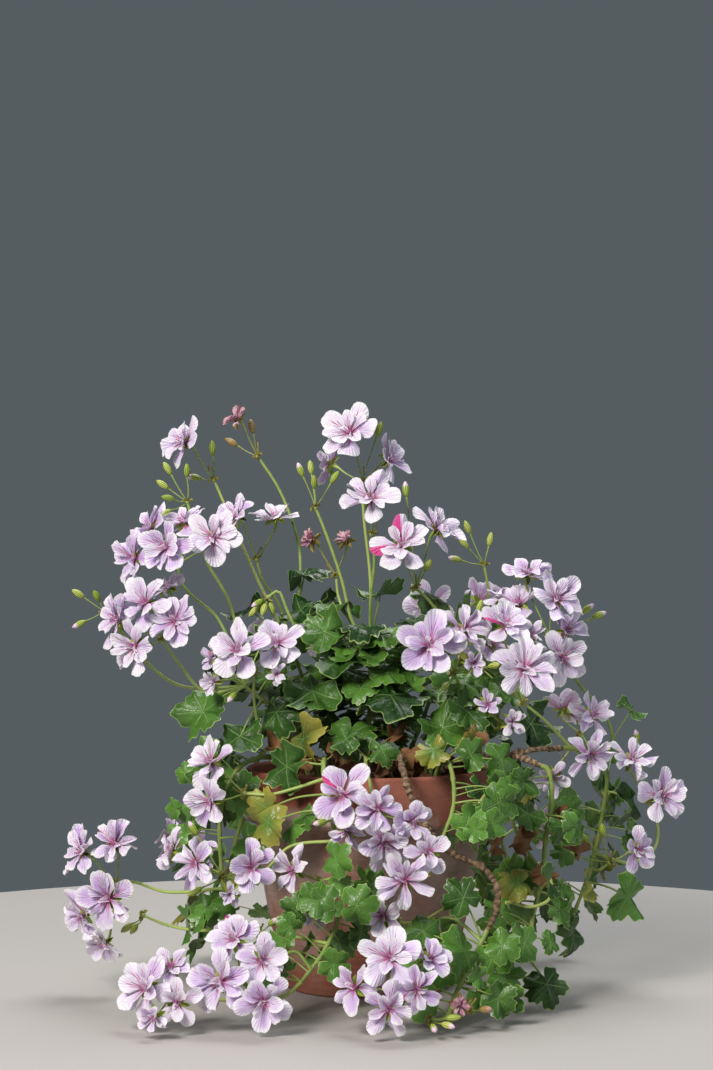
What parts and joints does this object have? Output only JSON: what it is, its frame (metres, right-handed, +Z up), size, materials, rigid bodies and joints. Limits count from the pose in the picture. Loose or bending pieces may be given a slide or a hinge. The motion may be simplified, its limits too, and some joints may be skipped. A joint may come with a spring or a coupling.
{
  "type": "potted ivy-leaved pelargonium",
  "caption": "Ivy-leaved pelargonium with pale lilac semi-double flowers trailing from a weathered terracotta pot.",
  "frame": {"origin": "middle of the pot's base, on the surface that the pot stands on", "axes": "+Z up along the pot's axis; -Y to the front, the side with the most flowers; +X to the right seen from the front"},
  "size_m": [0.497, 0.4443, 0.4704],
  "materials": {
    "terracotta": "matt unglazed clay with a worn bloom of lime",
    "soil": "loose dry compost with bark chips",
    "bark": "dry ringed bark",
    "foliage": "fleshy green leaf with a slight gloss",
    "petals": "thin soft petal, pale lilac with magenta veins",
    "dry_petals": "withered papery petal"
  },
  "bodies": {
    "root": {"pot": "terracotta", "soil": "soil", "wood_front": "bark", "wood_right": "bark", "shoot_back_left": "foliage", "shoot_upper_left": "foliage", "shoot_top": "foliage", "shoot_upper_right": "foliage", "shoot_left_low": "foliage", "shoot_front_left": "foliage", "shoot_front": "foliage", "shoot_front_right": "foliage", "shoot_front_low": "foliage", "shoot_right": "foliage", "shoot_right_low": "foliage", "shoot_upper_back": "foliage", "shoot_back": "foliage", "shoot_back_right": "foliage", "shoot_back_left_low": "foliage", "head_far_back": "petals", "head_withered_back": "dry_petals", "head_upper_left": "petals", "head_left_back": "petals", "head_left": "petals", "head_left_near": "petals", "head_top": "petals", "head_single": "petals", "head_middle": "petals", "head_withered_middle": "dry_petals", "head_right_near": "petals", "head_right_low": "petals", "head_right_upper": "petals", "head_right_small": "petals", "head_right_middle": "petals", "head_far_right": "petals", "head_right_lowest": "petals", "head_rim_left": "petals", "head_far_left": "petals", "head_low_left": "petals", "head_pot_left": "petals", "head_stripe": "petals", "head_rim_front": "petals", "head_pot_front": "petals", "head_ragged": "petals", "head_surface_front": "petals", "head_withered_front": "dry_petals", "head_surface_left": "petals", "head_surface_middle": "petals", "head_back_right": "petals", "head_back_left": "petals", "head_back_middle": "petals", "head_back_low_right": "petals", "head_back_low_left": "petals"}
  },
  "joints": []
}
